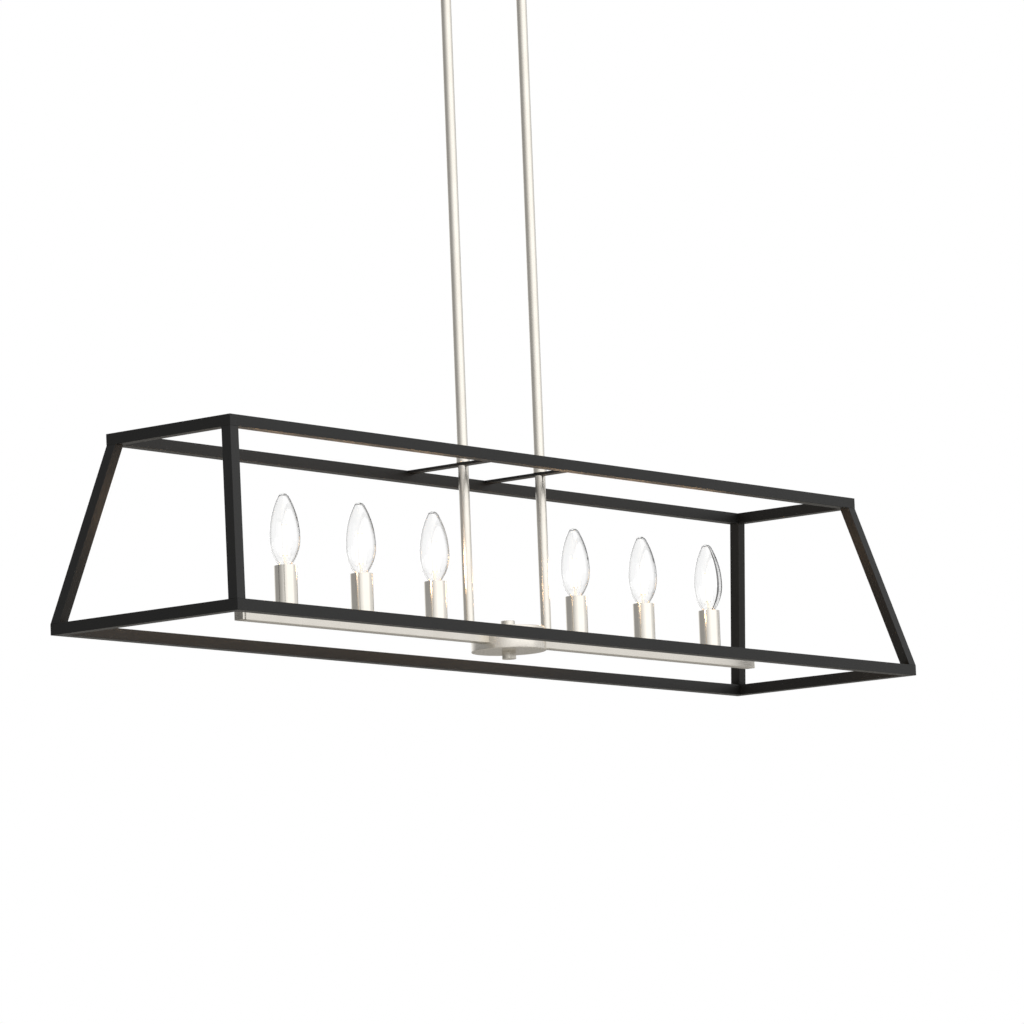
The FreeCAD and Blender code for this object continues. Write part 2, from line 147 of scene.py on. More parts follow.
def turned(name, outline, x=0.0, sides=64, closed=False):
    # turned piece about the upright line at x: a circle extruded ring by ring through (radius, height)
    startObjectMode()
    points = list(outline)
    poleHeight = points.pop(0)[1] if points[0][0] == 0 else None
    radius, height = points[0]
    bpy.ops.mesh.primitive_circle_add(vertices=sides, radius=radius, location=(x, 0, height))
    piece = named(name)
    editPiece(piece)
    bpy.ops.mesh.select_mode(type="EDGE")
    bpy.ops.mesh.select_all(action="SELECT")
    for nextRadius, nextHeight in points[1:] + (points[:1] if closed else []):
        bpy.ops.mesh.extrude_edges_move(TRANSFORM_OT_translate={"value": (0, 0, nextHeight - height)})
        if nextRadius == 0:
            bpy.ops.mesh.merge(type="CENTER")
        else:
            scale = nextRadius / radius
            bpy.ops.transform.resize(value=(scale, scale, 1), center_override=(x, 0, nextHeight))
        radius, height = nextRadius, nextHeight
    if poleHeight is not None:
        # the first ring is the only open one left
        pick("EDGE", lambda edge: edge.is_boundary)
        rise = poleHeight - points[0][1]
        bpy.ops.mesh.extrude_edges_move(TRANSFORM_OT_translate={"value": (0, 0, rise)})
        bpy.ops.mesh.merge(type="CENTER")
    bpy.ops.mesh.select_all(action="SELECT")
    bpy.ops.mesh.remove_doubles(threshold=weldGap)
    bpy.ops.mesh.normals_make_consistent(inside=False)
    startObjectMode()
    return piece


def easeEdges(piece, width, segments=2, angle=35):
    # narrow round on every sharp edge, then smooth shading up to that angle
    choose(piece)
    if width:
        bevel = piece.modifiers.new("ease", "BEVEL")
        bevel.width = width
        bevel.segments = segments
        bevel.limit_method = "ANGLE"
        bevel.angle_limit = math.radians(angle)
        bpy.ops.object.modifier_apply(modifier=bevel.name)
    bpy.ops.object.shade_smooth_by_angle(angle=math.radians(angle))
    weighted = piece.modifiers.new("flatFaces", "WEIGHTED_NORMAL")
    weighted.keep_sharp = True
    bpy.ops.object.modifier_apply(modifier=weighted.name)
    return piece


def cutAway(piece, cutter):
    # takes the cutter's space out of the piece
    choose(piece)
    cut = piece.modifiers.new("cut", "BOOLEAN")
    cut.operation = "DIFFERENCE"
    cut.solver = "EXACT"
    cut.object = cutter
    bpy.ops.object.modifier_apply(modifier=cut.name)
    bpy.data.objects.remove(cutter)
    return piece


def copyAlong(piece, name, shift):
    # copy with its own mesh, moved along X
    choose(piece)
    bpy.ops.object.duplicate(linked=False)
    bpy.ops.transform.translate(value=(shift, 0, 0))
    return named(name)


def settle(piece, body, finish, slot, *nodes):
    # gives a piece its finish, its body and the CAD nodes that it stands for
    piece.data.materials.clear()
    piece.data.materials.append(finish)
    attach(piece, body)
    if nodes:
        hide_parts(*nodes)


# materials

colourA, colourB = 6, 7  # the colour sockets of a Mix node
noiseLow, noiseHigh = 0.3, 0.7  # most of a noise lies between these


def newFinish(name):
    finish = bpy.data.materials.new(name)
    finish.use_nodes = True
    finish.node_tree.nodes.clear()
    tree = finish.node_tree
    output = addNode(tree, "ShaderNodeOutputMaterial")
    place = addNode(tree, "ShaderNodeTexCoord").outputs["Object"]
    return finish, tree, output, place


def makePowderCoat():
    # matte black powder coat on steel, sprayed and baked: almost no colour of its own, a wide
    # soft sheen, and a fine orange peel that shows close up
    coat = {"dark": "#070707", "light": "#0d0d0c", "cloudSize": 45 * mm, "peelSize": 1.4 * mm,
            "peelHeight": 0.018 * mm, "peelStrength": 0.6, "smoothest": 0.40, "roughest": 0.52,
            "ior": 1.40}
    finish, tree, output, place = newFinish("blackPowderCoat")
    peel = addNode(tree, "ShaderNodeTexNoise", {"Scale": 1 / coat["peelSize"], "Detail": 3.0},
                   {"Vector": place})
    cloud = addNode(tree, "ShaderNodeTexNoise", {"Scale": 1 / coat["cloudSize"], "Detail": 2.0},
                    {"Vector": place})
    colour = addNode(tree, "ShaderNodeMix",
                     {"data_type": "RGBA", colourA: toLinear(coat["dark"]), colourB: toLinear(coat["light"])},
                     {0: cloud.outputs["Fac"]})
    rough = addNode(tree, "ShaderNodeMapRange",
                    {"From Min": noiseLow, "From Max": noiseHigh,
                     "To Min": coat["smoothest"], "To Max": coat["roughest"]},
                    {"Value": peel.outputs["Fac"]})
    bump = addNode(tree, "ShaderNodeBump",
                   {"Distance": coat["peelHeight"], "Strength": coat["peelStrength"]},
                   {"Height": peel.outputs["Fac"]})
    shader = addNode(tree, "ShaderNodeBsdfPrincipled", {"IOR": coat["ior"]},
                     {"Base Color": colour.outputs[2], "Roughness": rough.outputs["Result"],
                      "Normal": bump.outputs["Normal"]})
    tree.links.new(shader.outputs[0], output.inputs["Surface"])
    return finish


def makeNickel(name, grain, smoothest, roughest):
    # satin nickel plate over brushed steel: warm white metal, soft reflections, hair-fine lines
    # along the piece. grain is the spacing of the lines in X, Y and Z
    nickel = {"dark": "#d2cdc4", "light": "#dcd8d0", "cloudSize": 30 * mm, "lineHeight": 0.002 * mm,
              "lineStrength": 0.5}
    finish, tree, output, place = newFinish(name)
    spread = addNode(tree, "ShaderNodeMapping", {"Scale": [1 / spacing for spacing in grain]},
                     {"Vector": place})
    lines = addNode(tree, "ShaderNodeTexNoise", {"Scale": 1.0, "Detail": 2.0},
                    {"Vector": spread.outputs[0]})
    cloud = addNode(tree, "ShaderNodeTexNoise", {"Scale": 1 / nickel["cloudSize"], "Detail": 1.0},
                    {"Vector": place})
    colour = addNode(tree, "ShaderNodeMix",
                     {"data_type": "RGBA", colourA: toLinear(nickel["dark"]),
                      colourB: toLinear(nickel["light"])},
                     {0: cloud.outputs["Fac"]})
    rough = addNode(tree, "ShaderNodeMapRange",
                    {"From Min": noiseLow, "From Max": noiseHigh, "To Min": smoothest, "To Max": roughest},
                    {"Value": lines.outputs["Fac"]})
    bump = addNode(tree, "ShaderNodeBump",
                   {"Distance": nickel["lineHeight"], "Strength": nickel["lineStrength"]},
                   {"Height": lines.outputs["Fac"]})
    shader = addNode(tree, "ShaderNodeBsdfPrincipled", {"Metallic": 1.0},
                     {"Base Color": colour.outputs[2], "Roughness": rough.outputs["Result"],
                      "Normal": bump.outputs["Normal"]})
    tree.links.new(shader.outputs[0], output.inputs["Surface"])
    return finish


def makeZinc():
    # bright zinc plated steel of hidden fittings: bluish grey, blotchy passivated film
    zinc = {"dark": "#a9adb0", "light": "#c3c5c2", "filmSize": 6 * mm, "smoothest": 0.28, "roughest": 0.46}
    finish, tree, output, place = newFinish("zincPlate")
    film = addNode(tree, "ShaderNodeTexNoise", {"Scale": 1 / zinc["filmSize"], "Detail": 4.0},
                   {"Vector": place})
    colour = addNode(tree, "ShaderNodeMix",
                     {"data_type": "RGBA", colourA: toLinear(zinc["dark"]), colourB: toLinear(zinc["light"])},
                     {0: film.outputs["Fac"]})
    rough = addNode(tree, "ShaderNodeMapRange", {"To Min": zinc["smoothest"], "To Max": zinc["roughest"]},
                    {"Value": film.outputs["Fac"]})
    shader = addNode(tree, "ShaderNodeBsdfPrincipled", {"Metallic": 1.0},
                     {"Base Color": colour.outputs[2], "Roughness": rough.outputs["Result"]})
    tree.links.new(shader.outputs[0], output.inputs["Surface"])
    return finish


def makeSocketPlastic():
    # moulded phenolic lamp socket: ivory, matt, faint mould grain
    phenolic = {"dark": "#d8d0bd", "light": "#e2dccb", "grainSize": 0.6 * mm, "grainHeight": 0.02 * mm,
                "grainStrength": 0.5, "roughness": 0.5, "ior": 1.6}
    finish, tree, output, place = newFinish("ivoryPhenolic")
    grain = addNode(tree, "ShaderNodeTexNoise", {"Scale": 1 / phenolic["grainSize"], "Detail": 3.0},
                    {"Vector": place})
    colour = addNode(tree, "ShaderNodeMix",
                     {"data_type": "RGBA", colourA: toLinear(phenolic["dark"]),
                      colourB: toLinear(phenolic["light"])},
                     {0: grain.outputs["Fac"]})
    bump = addNode(tree, "ShaderNodeBump",
                   {"Distance": phenolic["grainHeight"], "Strength": phenolic["grainStrength"]},
                   {"Height": grain.outputs["Fac"]})
    shader = addNode(tree, "ShaderNodeBsdfPrincipled",
                     {"Roughness": phenolic["roughness"], "IOR": phenolic["ior"]},
                     {"Base Color": colour.outputs[2], "Normal": bump.outputs["Normal"]})
    tree.links.new(shader.outputs[0], output.inputs["Surface"])
    return finish


def makeLampGlass(name, clear):
    # clear blown soda-lime glass: mirror-smooth, only its rims and reflections show. The rims carry
    # painted shade: their colour is greyer where the eye looks along the wall, and long waves bend the
    # reflections a little
    # rim is the grey of the painted rim shade, laid in between the two facing values that follow it
    glass = {"rim": "#c0c0bf", "rimShadeStart": 0.42, "rimShadeEnd": 0.95, "waveSize": 30 * mm,
             "waveHeight": 0.05 * mm, "waveStrength": 0.3, "ior": 1.5}
    finish, tree, output, place = newFinish(name)
    wave = addNode(tree, "ShaderNodeTexNoise", {"Scale": 1 / glass["waveSize"], "Detail": 0.0},
                   {"Vector": place})
    bump = addNode(tree, "ShaderNodeBump",
                   {"Distance": glass["waveHeight"], "Strength": glass["waveStrength"]},
                   {"Height": wave.outputs["Fac"]})
    along = addNode(tree, "ShaderNodeLayerWeight", {"Blend": 0.5})
    rim = addNode(tree, "ShaderNodeMapRange",
                  {"interpolation_type": "SMOOTHSTEP", "From Min": glass["rimShadeStart"],
                   "From Max": glass["rimShadeEnd"]},
                  {"Value": along.outputs["Facing"]})
    # painted shade: the glass colour turns grey towards the rims
    colour = addNode(tree, "ShaderNodeMix",
                     {"data_type": "RGBA", colourA: toLinear(clear), colourB: toLinear(glass["rim"])},
                     {0: rim.outputs["Result"]})
    shader = addNode(tree, "ShaderNodeBsdfPrincipled",
                     {"Roughness": 0.0, "IOR": glass["ior"], "Transmission Weight": 1.0},
                     {"Base Color": colour.outputs[2], "Normal": bump.outputs["Normal"]})
    tree.links.new(shader.outputs[0], output.inputs["Surface"])
    return finish


def makeBaseMetal():
    # nickel plated brass screw shell of the lamp: yellowish, rolled, slightly dull
    plate = {"dark": "#cbbf9e", "light": "#ddd5bd", "filmSize": 2.5 * mm, "smoothest": 0.2, "roughest": 0.36}
    finish, tree, output, place = newFinish("platedBrass")
    film = addNode(tree, "ShaderNodeTexNoise", {"Scale": 1 / plate["filmSize"], "Detail": 3.0},
                   {"Vector": place})
    colour = addNode(tree, "ShaderNodeMix",
                     {"data_type": "RGBA", colourA: toLinear(plate["dark"]),
                      colourB: toLinear(plate["light"])},
                     {0: film.outputs["Fac"]})
    rough = addNode(tree, "ShaderNodeMapRange", {"To Min": plate["smoothest"], "To Max": plate["roughest"]},
                    {"Value": film.outputs["Fac"]})
    shader = addNode(tree, "ShaderNodeBsdfPrincipled", {"Metallic": 1.0},
                     {"Base Color": colour.outputs[2], "Roughness": rough.outputs["Result"]})
    tree.links.new(shader.outputs[0], output.inputs["Surface"])
    return finish


def makeGlowStick():
    # phosphor over the light strips, lit: warm white, too bright for the eye to see its colour, a
    # little uneven along its length
    glow = {"dark": "#ffd9a6", "light": "#ffe3ba", "grainSize": 3 * mm, "roughness": 0.5, "strength": 2.5}
    finish, tree, output, place = newFinish("glowingPhosphor")
    grain = addNode(tree, "ShaderNodeTexNoise", {"Scale": 1 / glow["grainSize"], "Detail": 2.0},
                    {"Vector": place})
    colour = addNode(tree, "ShaderNodeMix",
                     {"data_type": "RGBA", colourA: toLinear(glow["dark"]), colourB: toLinear(glow["light"])},
                     {0: grain.outputs["Fac"]})
    shader = addNode(tree, "ShaderNodeBsdfPrincipled",
                     {"Roughness": glow["roughness"], "Emission Strength": glow["strength"]},
                     {"Base Color": colour.outputs[2], "Emission Color": colour.outputs[2]})
    tree.links.new(shader.outputs[0], output.inputs["Surface"])
    return finish


# The brushed lines are drawn wider than the real 0.1 mm, so that they show close up.
hair, streak, castGrain = 0.25 * mm, 25 * mm, 0.6 * mm
powderCoat = makePowderCoat()
uprightNickel = makeNickel("satinNickelUpright", (hair, hair, streak), 0.11, 0.19)
drawnNickel = makeNickel("satinNickelDrawn", (hair, hair, streak), 0.20, 0.28)
lengthwiseNickel = makeNickel("satinNickelLengthwise", (streak, hair, hair), 0.14, 0.24)
castNickel = makeNickel("satinNickelCast", (castGrain, castGrain, castGrain), 0.22, 0.30)
zincPlate = makeZinc()
socketPlastic = makeSocketPlastic()
lampGlass = makeLampGlass("clearLampGlass", "#ffffff")
stemGlass = makeLampGlass("warmStemGlass", "#fffdf4")
baseMetal = makeBaseMetal()
glowStick = makeGlowStick()
print("materials made")


# cage

cage = {"corner": 0.45 * mm, "segments": 3}
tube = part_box("bottom_rail_front")[1].z - cageUnder


def roundLongEdges(axis):
    # rounded corners of a square tube that is in edit mode
    pick("EDGE", lambda edge: runsAlong(edge, axis))
    bpy.ops.mesh.bevel(offset=cage["corner"], segments=cage["segments"], affect="EDGES")


def makeRail(node):
    # square tube with rounded long edges, its ends cut at 45 degrees from the outer corner inwards
    low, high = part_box(node)
    size = high - low
    along, across = (0, 1) if size.x > size.y else (1, 0)
    outward = 1 if (low + high)[across] > 0 else -1
    piece = block(node + "_tube", low, high)
    roundLongEdges(along)
    for end, corner in ((-1, low), (1, high)):
        onPlane = Vector((0, 0, 0))
        onPlane[along] = corner[along]
        onPlane[across] = (high if outward > 0 else low)[across]
        cutNormal = Vector((0, 0, 0))
        cutNormal[along] = end
        cutNormal[across] = -outward
        bpy.ops.mesh.select_all(action="SELECT")
        bpy.ops.mesh.bisect(plane_co=onPlane, plane_no=cutNormal, use_fill=True, clear_outer=True)
    easeEdges(piece, 0)
    settle(piece, "hanging_fixture", powderCoat, "black_paint", node)


def makePost(node, sideX, sideY):
    # leaning post: its foot stands inside the bottom ring's corner, its head is moved inwards
    low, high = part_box(node)
    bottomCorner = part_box("bottom_rail_front")[1].x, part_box("bottom_rail_back")[1].y
    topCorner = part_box("top_rail_front")[1].x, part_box("top_rail_back")[1].y
    lean = [bottomCorner[axis] - topCorner[axis] for axis in (0, 1)]
    rise = high.z - low.z
    width = [tube * math.hypot(1, lean[axis] / rise) for axis in (0, 1)]
    outer = Vector((sideX * bottomCorner[0], sideY * bottomCorner[1], 0))
    inner = Vector((sideX * (bottomCorner[0] - width[0]), sideY * (bottomCorner[1] - width[1]), 0))
    first = Vector((min(outer.x, inner.x), min(outer.y, inner.y), low.z))
    last = Vector((max(outer.x, inner.x), max(outer.y, inner.y), high.z))
    piece = block(node + "_tube", first, last)
    roundLongEdges(2)
    pick("VERT", lambda vertex: vertex.co.z > (low.z + high.z) / 2)
    bpy.ops.transform.translate(value=(-sideX * lean[0], -sideY * lean[1], 0))
    easeEdges(piece, 0)
    settle(piece, "hanging_fixture", powderCoat, "black_paint", node)


for level in ("top", "bottom"):
    for side in ("front", "right", "back", "left"):
        makeRail(level + "_rail_" + side)
for endName, sideX in (("left", -1), ("right", 1)):
    for faceName, sideY in (("front", -1), ("back", 1)):
        makePost("corner_post_" + faceName + "_" + endName, sideX, sideY)
print("cage made")


# crossbars, rods and collars

rods = {"diameter": 12.0 * mm, "bore": 9.6 * mm, "spigot": 9.4 * mm, "wireWay": 6.2 * mm, "plug": 3.0 * mm,
        "edge": 0.25 * mm, "footEdge": 0.15 * mm, "crossbarEdge": 0.4 * mm, "collarEdge": 0.45 * mm,
        "gap": 0.1 * mm, "cutPast": 1.0 * mm, "holeSides": 48}
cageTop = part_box("top_rail_front")[1].z
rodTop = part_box("upper_rod_left")[1].z


def makeCrossbar(side):
    # flat bar across the top ring, with the hole for the rod's threaded head
    low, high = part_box("crossbar_" + side)
    bar = block("crossbar_" + side + "_flat", low, high)
    pick("EDGE", lambda edge: runsAlong(edge, 1))
    bpy.ops.mesh.bevel(offset=rods["crossbarEdge"], segments=2, affect="EDGES")
    wide = rods["spigot"] / 2 + rods["gap"]
    under, over = low.z - rods["cutPast"], high.z + rods["cutPast"]
    hole = turned("hole", [(0, under), (wide, under), (wide, over), (0, over)],
                  (low.x + high.x) / 2, sides=rods["holeSides"])
    cutAway(bar, hole)
    easeEdges(bar, 0)
    settle(bar, "hanging_fixture", powderCoat, "black_paint", "crossbar_" + side)


def makeRods(side):
    low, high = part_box("crossbar_" + side)
    rodX = (low.x + high.x) / 2
    wide, thin, bore, way = (rods[key] / 2 for key in ("diameter", "spigot", "bore", "wireWay"))

    # the rod inside the cage: threaded foot in the bar, tube, threaded head through the crossbar
    foot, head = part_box("lower_rod_" + side)[0].z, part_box("lower_rod_" + side)[1].z
    plugTop, plugUnder = barTop + rods["plug"], low.z - rods["plug"]
    outline = [(way, foot), (thin, foot), (thin, barTop), (wide, barTop), (wide, low.z), (thin, low.z),
               (thin, head), (way, head), (way, plugUnder), (bore, plugUnder), (bore, plugTop),
               (way, plugTop)]
    lower = turned("lower_rod_" + side + "_tube", outline, rodX, closed=True)
    easeEdges(lower, rods["footEdge"])
    settle(lower, "hanging_fixture", drawnNickel, "satin_nickel", "lower_rod_" + side)

    # the rod above the cage
    outline = [(bore, cageTop), (wide, cageTop), (wide, rodTop), (bore, rodTop)]
    upper = easeEdges(turned("upper_rod_" + side + "_tube", outline, rodX, closed=True), rods["edge"])
    settle(upper, "hanging_fixture", drawnNickel, "satin_nickel", "upper_rod_" + side)

    # the collar round it, on the crossbar
    collarLow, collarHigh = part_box("rod_collars")
    collarWide = collarHigh.x - rodX if side == "right" else rodX - collarLow.x
    collarBore = wide + rods["gap"]
    outline = [(collarBore, cageTop), (collarWide, cageTop), (collarWide, collarHigh.z),
               (collarBore, collarHigh.z)]
    collar = turned("rod_collar_" + side, outline, rodX, closed=True)
    easeEdges(collar, rods["collarEdge"], segments=3)
    settle(collar, "hanging_fixture", drawnNickel, "satin_nickel", "rod_collars")


for side in ("left", "right"):
    makeCrossbar(side)
    makeRods(side)
print("rods made")


# light bar

lightBar = {"edge": 0.6 * mm, "capEdge": 0.3 * mm, "capThickness": 2.8 * mm, "seamWidth": 0.25 * mm,
            "seamDepth": 0.15 * mm}


def makeLightBar():
    # square tube, with a plate on each end behind a thin weld seam
    low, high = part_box("light_bar")
    tubeEnd = Vector((lightBar["capThickness"], 0, 0))
    piece = block("light_bar_tube", low + tubeEnd, high - tubeEnd)
    pick("EDGE", lambda edge: runsAlong(edge, 0))
    bpy.ops.mesh.bevel(offset=lightBar["edge"], segments=3, affect="EDGES")
    side = high.z - low.z
    shrink = (side - 2 * lightBar["seamDepth"]) / side
    for end in (-1, 1):
        centre = (end * (high.x - lightBar["capThickness"]), 0, (low.z + high.z) / 2)
        pick("FACE", lambda face: face.normal.x * end > 0.9)
        for move, scale in ((0, shrink), (lightBar["seamWidth"], 1), (0, 1 / shrink),
                            (lightBar["capThickness"] - lightBar["seamWidth"], 1)):
            bpy.ops.mesh.extrude_region_move(TRANSFORM_OT_translate={"value": (end * move, 0, 0)})
            if scale != 1:
                bpy.ops.transform.resize(value=(1, scale, scale), center_override=centre)
        bpy.ops.mesh.bevel(offset=lightBar["capEdge"], segments=2, affect="EDGES")
    easeEdges(piece, 0)
    settle(piece, "hanging_fixture", lengthwiseNickel, "satin_nickel", "light_bar")


makeLightBar()
print("light bar made")


# hub

hub = {"wall": 1.4 * mm, "rim": 3.0 * mm, "rimGap": 0.1 * mm, "edge": 0.8 * mm, "hole": 4.9 * mm,
       "nutDepth": 6.4 * mm, "nutEdge": 0.4 * mm, "barGap": 0.1 * mm, "cutPast": 2.0 * mm, "sides": 128}


def makeHub():
    # a short drum clamped on the bar: its cup, its closing plate below and the two nuts
    low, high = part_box("hub_shell")
    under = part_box("hub_closing_plate")[0].z
    wide = high.x
    plateTop = low.z
    inner = wide - hub["wall"]
    quarter = [math.radians(angle) for angle in range(0, 91, 15)]
    arc = [(wide - hub["edge"] * (1 - math.cos(turn)), high.z - hub["edge"] * (1 - math.sin(turn)))
           for turn in quarter]
    cup = [(wide, plateTop)] + arc + [(hub["hole"], high.z), (hub["hole"], high.z - hub["wall"]),
                                      (inner, high.z - hub["wall"]), (inner, plateTop)]
    shell = turned("hub_cup", cup, sides=hub["sides"], closed=True)
    gap = Vector((0, hub["barGap"], hub["barGap"]))
    barLow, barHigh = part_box("light_bar")
    reach = wide + hub["cutPast"]
    passage = block("passage", Vector((-reach, barLow.y, barLow.z)) - gap,
                    Vector((reach, barHigh.y, barHigh.z)) + gap)
    cutAway(shell, passage)
    easeEdges(shell, 0)
    settle(shell, "hanging_fixture", castNickel, "satin_nickel", "hub_shell")

    # the closing plate has a rim that stands inside the cup
    rim = inner - hub["rimGap"]
    rimInner = rim - hub["wall"]
    rimTop = plateTop + hub["rim"]
    arc = [(wide - hub["edge"] * (1 - math.sin(turn)), under + hub["edge"] * (1 - math.cos(turn)))
           for turn in quarter]
    plate = [(hub["hole"], under)] + arc + [(wide, plateTop), (rim, plateTop), (rim, rimTop),
                                            (rimInner, rimTop), (rimInner, plateTop),
                                            (hub["hole"], plateTop)]
    closing = easeEdges(turned("hub_plate", plate, sides=hub["sides"], closed=True), 0)
    settle(closing, "hanging_fixture", castNickel, "satin_nickel", "hub_closing_plate")

    nutLow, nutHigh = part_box("hub_nuts")
    for name, seat, end in (("hub_top_nut", high.z, nutHigh.z), ("hub_finial_nut", under, nutLow.z)):
        way = 1 if end > seat else -1
        threadEnd = seat + way * hub["nutDepth"]
        outline = [(0, threadEnd), (hub["hole"], threadEnd), (hub["hole"], seat), (nutHigh.x, seat),
                   (nutHigh.x, end), (0, end)]
        nut = easeEdges(turned(name, outline, sides=64), hub["nutEdge"], segments=3)
        settle(nut, "hanging_fixture", castNickel, "satin_nickel", "hub_nuts")


makeHub()
print("hub made")


# candles

candle = {"wall": 1.0 * mm, "floor": 1.6 * mm, "hole": 4.9 * mm, "rim": 0.3 * mm, "socketTop": 0.5 * mm,
          "nipple": 4.8 * mm, "cupDepth": 16.5 * mm, "cupRadius": 6.15 * mm,
          "contact": 2.0 * mm, "contactHeight": 1.2 * mm}
lamp = {"wall": 1.5 * mm, "neck": 5.2 * mm, "fillet": 3.6 * mm, "flank": 50.0 * mm, "tip": 7.2 * mm,
        "belly": 50.8 * mm}


def candleX(number):
    low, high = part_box("sleeve_%d" % number)
    return (low.x + high.x) / 2


firstX = candleX(1)


def arcPoints(centreRadius, centreHeight, radius, first, last, steps):
    # points along an arc, from its first to its last angle in degrees
    turns = [math.radians(first + (last - first) * step / steps) for step in range(steps + 1)]
    return [(centreRadius + radius * math.cos(turn), centreHeight + radius * math.sin(turn))
            for turn in turns]


def glassOutline(inset, bottom, top):
    # tangent arcs from the neck to the tip: hollow fillet, long flank, shoulder, round tip
    wide = (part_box("lamp_glass_1")[1].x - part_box("lamp_glass_1")[0].x) / 2
    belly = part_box("lamp_base_1")[0].z + lamp["belly"]
    neck, fillet, flank, tip = (lamp[key] for key in ("neck", "fillet", "flank", "tip"))
    tipHeight = top - tip
    rise = tipHeight - belly
    shoulder = (wide ** 2 + rise ** 2 - tip ** 2) / (2 * (wide - tip))
    shoulderEnd = math.degrees(math.atan2(rise, shoulder - wide))
    across = neck + fillet - (wide - flank)
    drop = math.sqrt((flank + fillet) ** 2 - across ** 2)
    flankStart = -math.degrees(math.atan2(drop, across))
    outline = [(neck - inset, bottom)]
    outline += arcPoints(neck + fillet, belly - drop, fillet + inset, 180, 180 + flankStart, steps=8)
    outline += arcPoints(wide - flank, belly, flank - inset, flankStart, 0, steps=14)[1:]
    outline += arcPoints(wide - shoulder, belly, shoulder - inset, 0, shoulderEnd, steps=16)[1:]
    outline += arcPoints(0, tipHeight, tip - inset, shoulderEnd, 90, steps=6)[1:-1]
    return outline + [(0, top - inset)]


def makeGlass():
    # blown envelope: from the tip down its outside, round the open neck and up its inside
    low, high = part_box("lamp_glass_1")
    outline = glassOutline(0, low.z, high.z)[::-1] + glassOutline(lamp["wall"], low.z, high.z)
    return easeEdges(turned("lamp_1_glass", outline, firstX, sides=96), 0, angle=60)


screwBase = {"contact": 2.4 * mm, "insulator": 3.2 * mm, "taper": 1.6 * mm, "threadStart": 0.8 * mm,
             "threadPitch": 2.54 * mm, "threadTurns": 4, "threadDepth": 0.55 * mm, "threadPlay": 0.02 * mm,
             "pointsPerTurn": 8, "groove": 0.6 * mm, "grooveEnd": 1.2 * mm, "beadStart": 0.9 * mm,
             "lip": 0.2 * mm, "floor": 1.4 * mm, "neckGap": 0.05 * mm}


def makeBase():
    # screw base: contact, tapered insulator and a rolled shell with its round thread
    low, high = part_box("lamp_base_1")
    wide = (high.x - low.x) / 2
    shellBottom = low.z + screwBase["insulator"]
    threadBottom = shellBottom + screwBase["threadStart"]
    crest = wide - screwBase["threadPlay"]
    outline = [(0, low.z), (screwBase["contact"], low.z), (wide - screwBase["taper"], shellBottom)]
    for step in range(screwBase["threadTurns"] * screwBase["pointsPerTurn"] + 1):
        turn = step / screwBase["pointsPerTurn"]
        wave = 0.5 + 0.5 * math.cos(2 * math.pi * turn)
        outline.append((crest - screwBase["threadDepth"] * wave,
                        threadBottom + screwBase["threadPitch"] * turn))
    inside = lamp["neck"] + screwBase["neckGap"]
    floor = shellBottom + screwBase["floor"]
    outline += [(wide - screwBase["groove"], high.z - screwBase["grooveEnd"]),
                (wide, high.z - screwBase["beadStart"]), (wide, high.z - screwBase["lip"]),
                (wide - screwBase["lip"], high.z), (inside, high.z), (inside, floor), (0, floor)]
    return easeEdges(turned("lamp_1_base", outline, firstX, sides=64), 0, angle=50)


stem = {"diameter": 3.4 * mm, "length": 15 * mm, "flareBelow": 3 * mm, "flareHeight": 5 * mm,
        "flareSteps": 8, "flareGap": 0.05 * mm, "topRise": 0.6 * mm, "topInset": 0.5 * mm}
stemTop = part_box("lamp_base_1")[1].z + stem["length"]


def makeStem():
    # flared glass stem on the base
    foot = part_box("lamp_filament_1")[0].z
    flare = lamp["neck"] - lamp["wall"] - stem["flareGap"]
    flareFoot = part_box("lamp_base_1")[1].z - stem["flareBelow"]
    thin = stem["diameter"] / 2
    outline = [(0, foot), (flare, foot), (flare, flareFoot)]
    for step in range(1, stem["flareSteps"] + 1):
        part = step / stem["flareSteps"]
        outline.append((flare + (thin - flare) * (1 - (1 - part) ** 2),
                        flareFoot + stem["flareHeight"] * part))
    outline += [(thin, stemTop - stem["topRise"]), (thin - stem["topInset"], stemTop), (0, stemTop)]
    return easeEdges(turned("lamp_1_stem", outline, firstX, sides=48), 0, angle=60)


sticks = {"count": 4, "width": 1.7 * mm, "depth": 1.1 * mm, "length": 36 * mm, "circle": 9 * mm,
          "edge": 0.35 * mm, "wire": 0.15 * mm, "wireInset": 1.05 * mm, "wireSides": 12}


def standRound(turn):
    # turns the piece in edit mode round the lamp's axis and moves it to the first lamp
    bpy.ops.mesh.select_all(action="SELECT")
    bpy.ops.transform.rotate(value=-turn, orient_axis="Z", center_override=(0, 0, 0))
    bpy.ops.transform.translate(value=(firstX, 0, 0))
    startObjectMode()


